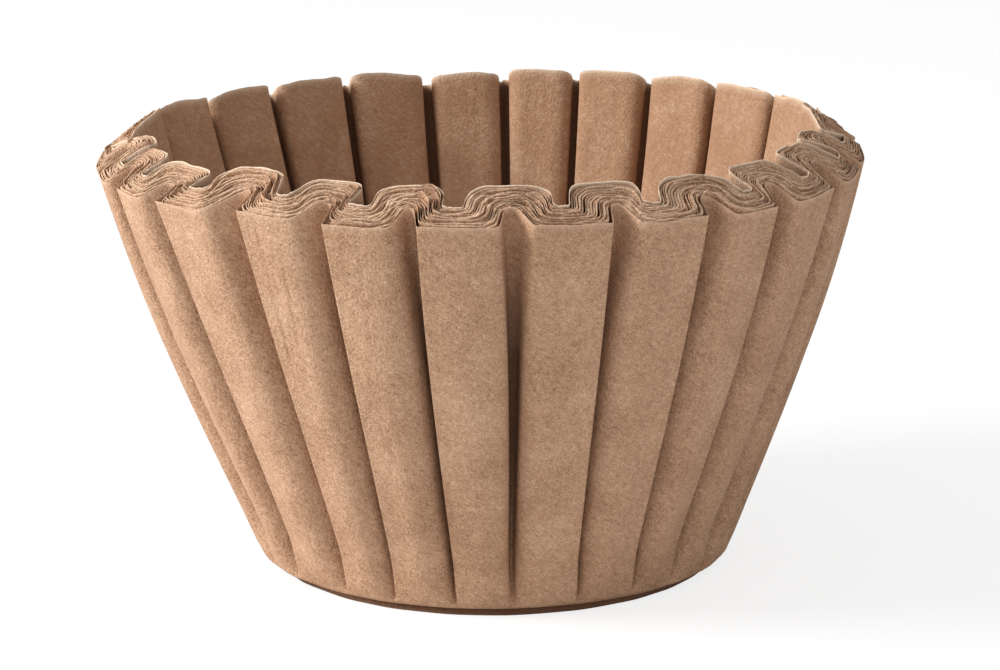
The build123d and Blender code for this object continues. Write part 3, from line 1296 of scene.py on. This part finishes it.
class KraftPaper:
    """The unbleached paper: the node groups that its materials share, and the materials themselves.

    Attributes:
        colour_group: Node group with its colour and roughness.
        relief_group: Node group with the height of its relief.
    """

    # Colour of the shade painted into the folds and onto the step under the foot.
    PAINTED_SHADE_COLOUR = (0.10, 0.038, 0.014)
    CLOUD = Noise(110.0, 3.0)
    FELT = Noise(950.0, 3.0, 0.6)
    FIBRES = Noise(2600.0, 3.0, 0.7, (5.0, 5.0, 1.0), (0.0, 0.6, 0.0))
    GRAIN = Noise(3400.0, 2.0)
    FLECKS = Noise(1500.0, 1.0, 0.5, (1.0, 1.0, 2.0))
    RAISED_FELT = Noise(1710.0, 3.0, 0.65)
    COCKLE = Noise(160.0, 2.0, 0.5, (1.0, 1.0, 2.0))
    STREAKS = Noise(900.0, 2.0, 0.5, (1.0, 1.0, 11.0))
    CLOUD_STRENGTH = 0.8
    COCKLE_STRENGTH = 2.5
    FLECK_LIMITS = (0.68, 0.78)
    ROUGHNESS = 0.86
    ROUGHNESS_SWING = 0.3
    SHADE_POWER = 1.6
    SHEEN = 0.45
    BUMP_STRENGTH = 0.7
    BUMP_DISTANCE = 0.35 * MM

    def __init__(self) -> None:
        """Builds both node groups."""
        self.colour_group = self._colour_group()
        self.relief_group = self._relief_group()

    @staticmethod
    def _new_group(name: str, inputs: dict[str, str], outputs: dict[str, str]) -> bpy.types.NodeTree:
        """An empty node group with named sockets.

        Args:
            name: Name of the group.
            inputs: Kind of each input, by its name.
            outputs: Kind of each output, by its name.

        Returns:
            The group.
        """
        tree = bpy.data.node_groups.new(name, "ShaderNodeTree")
        for direction, sockets in (("INPUT", inputs), ("OUTPUT", outputs)):
            for socket, kind in sockets.items():
                tree.interface.new_socket(socket, in_out=direction, socket_type="NodeSocket" + kind)
        return tree

    def _colour_group(self) -> bpy.types.NodeTree:
        """Mottled paper colour with fibres and flecks, paler cut edges that are partly a painted highlight,
        and painted shade in the folds and on the foot's step.

        Returns:
            The node group.
        """
        inputs = {"Place": "Vector"}
        inputs.update(dict.fromkeys(("Base", "Dark", "Light", "Painted Shade Colour"), "Color"))
        inputs.update(dict.fromkeys(("Mottle", "Grain", "Fleck", "Cut Edge", "Shade"), "Float"))
        tree = self._new_group("kraft_colour", inputs, {"Color": "Color", "Roughness": "Float"})
        graph = NodeGraph(tree)
        given = tree.nodes.new("NodeGroupInput").outputs
        result = tree.nodes.new("NodeGroupOutput").inputs
        place = given["Place"]
        felt = graph.swing(place, self.FELT)
        marks = graph.calc("ADD", graph.swing(place, self.CLOUD), felt)
        marks = graph.calc("MULTIPLY", marks, self.CLOUD_STRENGTH)
        marks = graph.calc("ADD", marks, graph.swing(place, self.FIBRES))
        tone = graph.calc("MULTIPLY", marks, given["Mottle"])
        grain = graph.calc("MULTIPLY", graph.swing(place, self.GRAIN), given["Grain"])
        tone = graph.calc("ADD", tone, grain)
        lighter = graph.calc("MAXIMUM", tone, 0.0, clamp=True)
        darker = graph.calc("MULTIPLY", graph.calc("MINIMUM", tone, 0.0), -1.0, clamp=True)
        colour = graph.blend(lighter, given["Base"], given["Light"])
        colour = graph.blend(darker, colour, given["Dark"])
        fleck = graph.ramp(graph.noise(place, self.FLECKS), self.FLECK_LIMITS)
        colour = graph.blend(graph.calc("MULTIPLY", fleck, given["Fleck"]), colour, given["Dark"])
        # Paler cut edges: partly the paper's cut fibres, partly a painted highlight along the rim's top.
        colour = graph.blend(given["Cut Edge"], colour, given["Light"])
        # Painted shade: the folds and the foot's step darken towards the painted shade colour.
        colour = graph.blend(given["Shade"], colour, given["Painted Shade Colour"])
        rougher = graph.calc("MULTIPLY", felt, self.ROUGHNESS_SWING)
        graph.feed(result["Color"], colour)
        graph.feed(result["Roughness"], graph.calc("ADD", rougher, self.ROUGHNESS, clamp=True))
        return tree

    def _relief_group(self) -> bpy.types.NodeTree:
        """Height of the felt, the cockle and the fine creases up the wall.

        Returns:
            The node group.
        """
        inputs = {"Place": "Vector", "Relief": "Float", "Streaks": "Float"}
        tree = self._new_group("paper_relief", inputs, {"Height": "Float"})
        graph = NodeGraph(tree)
        given = tree.nodes.new("NodeGroupInput").outputs
        result = tree.nodes.new("NodeGroupOutput").inputs
        place = given["Place"]
        cockle = graph.calc("MULTIPLY", graph.noise(place, self.COCKLE), self.COCKLE_STRENGTH)
        height = graph.calc("ADD", graph.noise(place, self.RAISED_FELT), cockle)
        height = graph.calc("MULTIPLY", height, given["Relief"])
        streaks = graph.calc("MULTIPLY", graph.noise(place, self.STREAKS), given["Streaks"])
        graph.feed(result["Height"], graph.calc("ADD", height, streaks))
        return tree

    def material(self, finish: PaperFinish) -> bpy.types.Material:
        """One material of the paper.

        Args:
            finish: Its colours and relief.

        Returns:
            The material.
        """
        material = bpy.data.materials.new(finish.surface.value)
        material.use_nodes = True
        graph = NodeGraph(material.node_tree)
        shader = material.node_tree.nodes["Principled BSDF"]
        shader.inputs["Specular IOR Level"].default_value = self.SHEEN
        place = graph.add("TexCoord").outputs["Object"]
        edge = graph.add("Attribute", attribute_name="cut_edge").outputs["Fac"]
        # The cleft attribute is the mask of the shade painted into the folds and onto the foot's step.
        cleft = graph.add("Attribute", attribute_name="cleft").outputs["Fac"]
        colour = graph.add("Group", node_tree=self.colour_group)
        graph.feed(colour.inputs["Place"], place)
        colours = {"Base": finish.base, "Dark": finish.dark, "Light": finish.light, "Painted Shade Colour": self.PAINTED_SHADE_COLOUR}
        for name, value in colours.items():
            colour.inputs[name].default_value = (*value, 1.0)
        for name, value in {"Mottle": finish.mottle, "Grain": finish.grain, "Fleck": finish.fleck}.items():
            colour.inputs[name].default_value = value
        graph.feed(colour.inputs["Cut Edge"], graph.calc("MULTIPLY", edge, finish.edge))
        # The painted shade follows that mask, and is left off the cut edges.
        away_from_edge = graph.calc("SUBTRACT", 1.0, edge, clamp=True)
        shade = graph.calc("MULTIPLY", graph.calc("POWER", cleft, self.SHADE_POWER), away_from_edge)
        graph.feed(colour.inputs["Shade"], graph.calc("MULTIPLY", shade, finish.shade))
        relief = graph.add("Group", node_tree=self.relief_group)
        graph.feed(relief.inputs["Place"], place)
        relief.inputs["Relief"].default_value = finish.relief
        relief.inputs["Streaks"].default_value = finish.streaks
        bump = graph.add("Bump")
        bump.inputs["Strength"].default_value = self.BUMP_STRENGTH
        bump.inputs["Distance"].default_value = self.BUMP_DISTANCE
        graph.feed(bump.inputs["Height"], relief.outputs["Height"])
        graph.feed(shader.inputs["Base Color"], colour.outputs["Color"])
        graph.feed(shader.inputs["Roughness"], colour.outputs["Roughness"])
        graph.feed(shader.inputs["Normal"], bump.outputs["Normal"])
        return material


@dataclass(frozen=True)
class Lamp:
    """A soft square lamp that points at the nest.

    Attributes:
        name: Its name.
        place: Where it stands, in metres.
        size: Its side, in metres.
        energy: Its power, in watts.
        target: Where it points, in metres.
    """

    name: str
    place: Triple
    size: float
    energy: float
    target: Triple = (0.0, 0.0, 0.04)

    def build(self) -> None:
        """Makes the lamp and links it to the scene."""
        light = bpy.data.lights.new(self.name, "AREA")
        light.energy = self.energy
        light.size = self.size
        lamp = bpy.data.objects.new(self.name, light)
        lamp.location = self.place
        aim = Vector(self.target) - lamp.location
        lamp.rotation_euler = aim.to_track_quat("-Z", "Y").to_euler()
        bpy.context.scene.collection.objects.link(lamp)


@dataclass(frozen=True)
class Studio:
    """Floor, lights and camera.

    Attributes:
        lamps: The lamps.
        world_light: Strength of the even light from all round.
        floor_size: Half the floor's side, in metres.
        floor_colour: Grey of the floor.
        floor_roughness: Its roughness.
        floor_white: Share of the floor's look that is plain white to the camera.
        white_strength: Strength of that white.
        camera_elevation: Degrees above level.
        camera_distance: From the camera to its target, in mm.
        camera_target: Where it looks, in mm.
        camera_roll: Turn about its own axis, in radians.
        focal_pixels: Its focal length in pixels of a frame with the next width.
        frame_pixels: That frame's width.
        sensor_width: Width of its sensor, in mm.
    """

    lamps: tuple[Lamp, ...] = (
        Lamp("key", (-1.11, -0.17, 0.69), 0.5, 20.0),
        Lamp("fill", (1.3, -0.75, 0.59), 1.2, 2.0),
    )
    world_light: float = 0.55
    floor_size: float = 3.0
    floor_colour: float = 0.8
    floor_roughness: float = 0.9
    floor_white: float = 0.7
    white_strength: float = 1.12
    camera_elevation: float = 13.2
    camera_distance: float = 618.0
    camera_target: Triple = (2.5, 0.0, 41.0)
    camera_roll: float = -0.0057
    focal_pixels: float = 3289.0
    frame_pixels: float = 1000.0
    sensor_width: float = 36.0

    def build(self) -> None:
        """Builds all of it."""
        bpy.context.scene.view_settings.view_transform = "Standard"
        self._floor()
        self._world()
        for lamp in self.lamps:
            lamp.build()
        self._camera()

    def _floor(self) -> None:
        """A pale floor that looks white to the camera and keeps the nest's shadow."""
        size = self.floor_size
        mesh = bpy.data.meshes.new("floor")
        corners = [(-size, -size, 0), (size, -size, 0), (size, size, 0), (-size, size, 0)]
        mesh.from_pydata(corners, [], [(0, 1, 2, 3)])
        floor = bpy.data.objects.new("floor", mesh)
        bpy.context.scene.collection.objects.link(floor)
        material = bpy.data.materials.new("studio_floor")
        material.use_nodes = True
        graph = NodeGraph(material.node_tree)
        shader = material.node_tree.nodes["Principled BSDF"]
        shader.inputs["Base Color"].default_value = (self.floor_colour,) * 3 + (1.0,)
        shader.inputs["Roughness"].default_value = self.floor_roughness
        white = graph.add("Emission")
        white.inputs["Strength"].default_value = self.white_strength
        seen = graph.add("LightPath").outputs["Is Camera Ray"]
        mix = graph.add("MixShader")
        graph.feed(mix.inputs[0], graph.calc("MULTIPLY", seen, self.floor_white))
        graph.feed(mix.inputs[1], shader.outputs[0])
        graph.feed(mix.inputs[2], white.outputs[0])
        graph.feed(material.node_tree.nodes["Material Output"].inputs["Surface"], mix.outputs[0])
        mesh.materials.append(material)

    def _world(self) -> None:
        """Even white light, and plain white behind the nest."""
        world = bpy.data.worlds.new("studio")
        world.use_nodes = True
        graph = NodeGraph(world.node_tree)
        light = world.node_tree.nodes["Background"]
        light.inputs["Color"].default_value = (1.0, 1.0, 1.0, 1.0)
        light.inputs["Strength"].default_value = self.world_light
        white = graph.add("Background")
        white.inputs["Color"].default_value = (1.0, 1.0, 1.0, 1.0)
        mix = graph.add("MixShader")
        graph.feed(mix.inputs[0], graph.add("LightPath").outputs["Is Camera Ray"])
        graph.feed(mix.inputs[1], light.outputs[0])
        graph.feed(mix.inputs[2], white.outputs[0])
        graph.feed(world.node_tree.nodes["World Output"].inputs["Surface"], mix.outputs[0])
        bpy.context.scene.world = world

    def _camera(self) -> None:
        """The camera, at the photograph's angle."""
        camera = bpy.data.cameras.new("camera")
        camera.sensor_width = self.sensor_width
        camera.lens = self.focal_pixels * self.sensor_width / self.frame_pixels
        eye = bpy.data.objects.new("camera", camera)
        elevation = math.radians(self.camera_elevation)
        away = Vector((0.0, -math.cos(elevation), math.sin(elevation))) * self.camera_distance
        eye.location = (Vector(self.camera_target) + away) * MM
        eye.rotation_euler = (math.pi / 2 - elevation, 0, 0)
        bpy.context.scene.collection.objects.link(eye)
        eye.rotation_euler.rotate_axis("Z", self.camera_roll)
        bpy.context.scene.camera = eye


FINISHES = (
    PaperFinish(
        surface=Surface.OUTSIDE,
        base=(0.51, 0.297, 0.176),
        dark=(0.23, 0.11, 0.052),
        light=(0.74, 0.50, 0.34),
        mottle=1.3,
        grain=2.4,
        fleck=0.5,
        edge=0.5,
        relief=1.6,
        streaks=0.5,
        # Strength of the painted shade in the folds and on the foot's step.
        shade=0.85,
    ),
    PaperFinish(
        surface=Surface.INSIDE,
        # The inside is the same paper as the outside; its darker, browner base is painted shade of the nest's
        # inside.
        base=(0.42, 0.233, 0.130),
        dark=(0.17, 0.078, 0.037),
        light=(0.78, 0.59, 0.43),
        mottle=0.8,
        grain=0.7,
        fleck=0.25,
        edge=1.0,
        relief=1.0,
        streaks=0.5,
        # Strength of the painted shade in the folds and on the foot's step.
        shade=0.9,
    ),
    PaperFinish(
        surface=Surface.CUT_EDGES,
        base=(0.45, 0.235, 0.124),
        dark=(0.15, 0.062, 0.027),
        light=(0.88, 0.66, 0.47),
        mottle=1.6,
        grain=2.6,
        fleck=0.4,
        edge=0.3,
        relief=1.2,
        streaks=0.3,
        shade=0.0,
    ),
)
OUTERMOST = Sheet("outermost_sheet", (0.0, 0.0), (0.0, -0.13), 0.0, 0.06, Surface.OUTSIDE)
INNERMOST = Sheet("innermost_sheet", (1.0, 1.0), (0.2, 0.0), 0.3, 0.12, Surface.INSIDE)
CORE = Sheet("pressed_core", (0.35, 0.75), (0.0, 0.0), -2.7, 0.0, Surface.CUT_EDGES)
STACKS = (
    SheetStack("sheet_edges_outer", 0.075, 0.44, 6, 0.2, 0.75, 3.0, 0.16, 0.0, 11),
    SheetStack("sheet_edges_inner", 0.44, 0.785, 5, 0.2, 0.75, 3.0, 0.16, 0.0, 12),
    SheetStack("second_inner_sheet", 0.80, 0.85, 1, 0.1, 0.2, 4.0, 0.15, 0.25, 13),
    SheetStack("third_inner_sheets", 0.85, 0.955, 2, 0.2, 0.6, 4.0, 0.12, 0.05, 14),
)


def main() -> None:
    """Builds the nest and the studio."""
    logging.basicConfig(level=logging.INFO)
    paper = KraftPaper()
    materials = {finish.surface: paper.material(finish) for finish in FINISHES}
    slots = [*FRONT_SLOTS, *BackSlots().build(), LEFT_SLOT]
    builder = SheetBuilder(FlutedWall(NestForm(), FoldForm(), slots), materials)
    rng = np.random.default_rng(SHEET_EDGE_SEED)
    outer = builder.full_sheet(OUTERMOST, rng)
    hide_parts("outer_filter")
    inner = builder.full_sheet(INNERMOST, rng)
    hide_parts("inner_filter")
    core = builder.full_sheet(CORE, rng)
    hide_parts("pressed_filters")
    for stack in STACKS:
        builder.stack(stack)
    Studio().build()


if __name__ == "__main__":
    main()
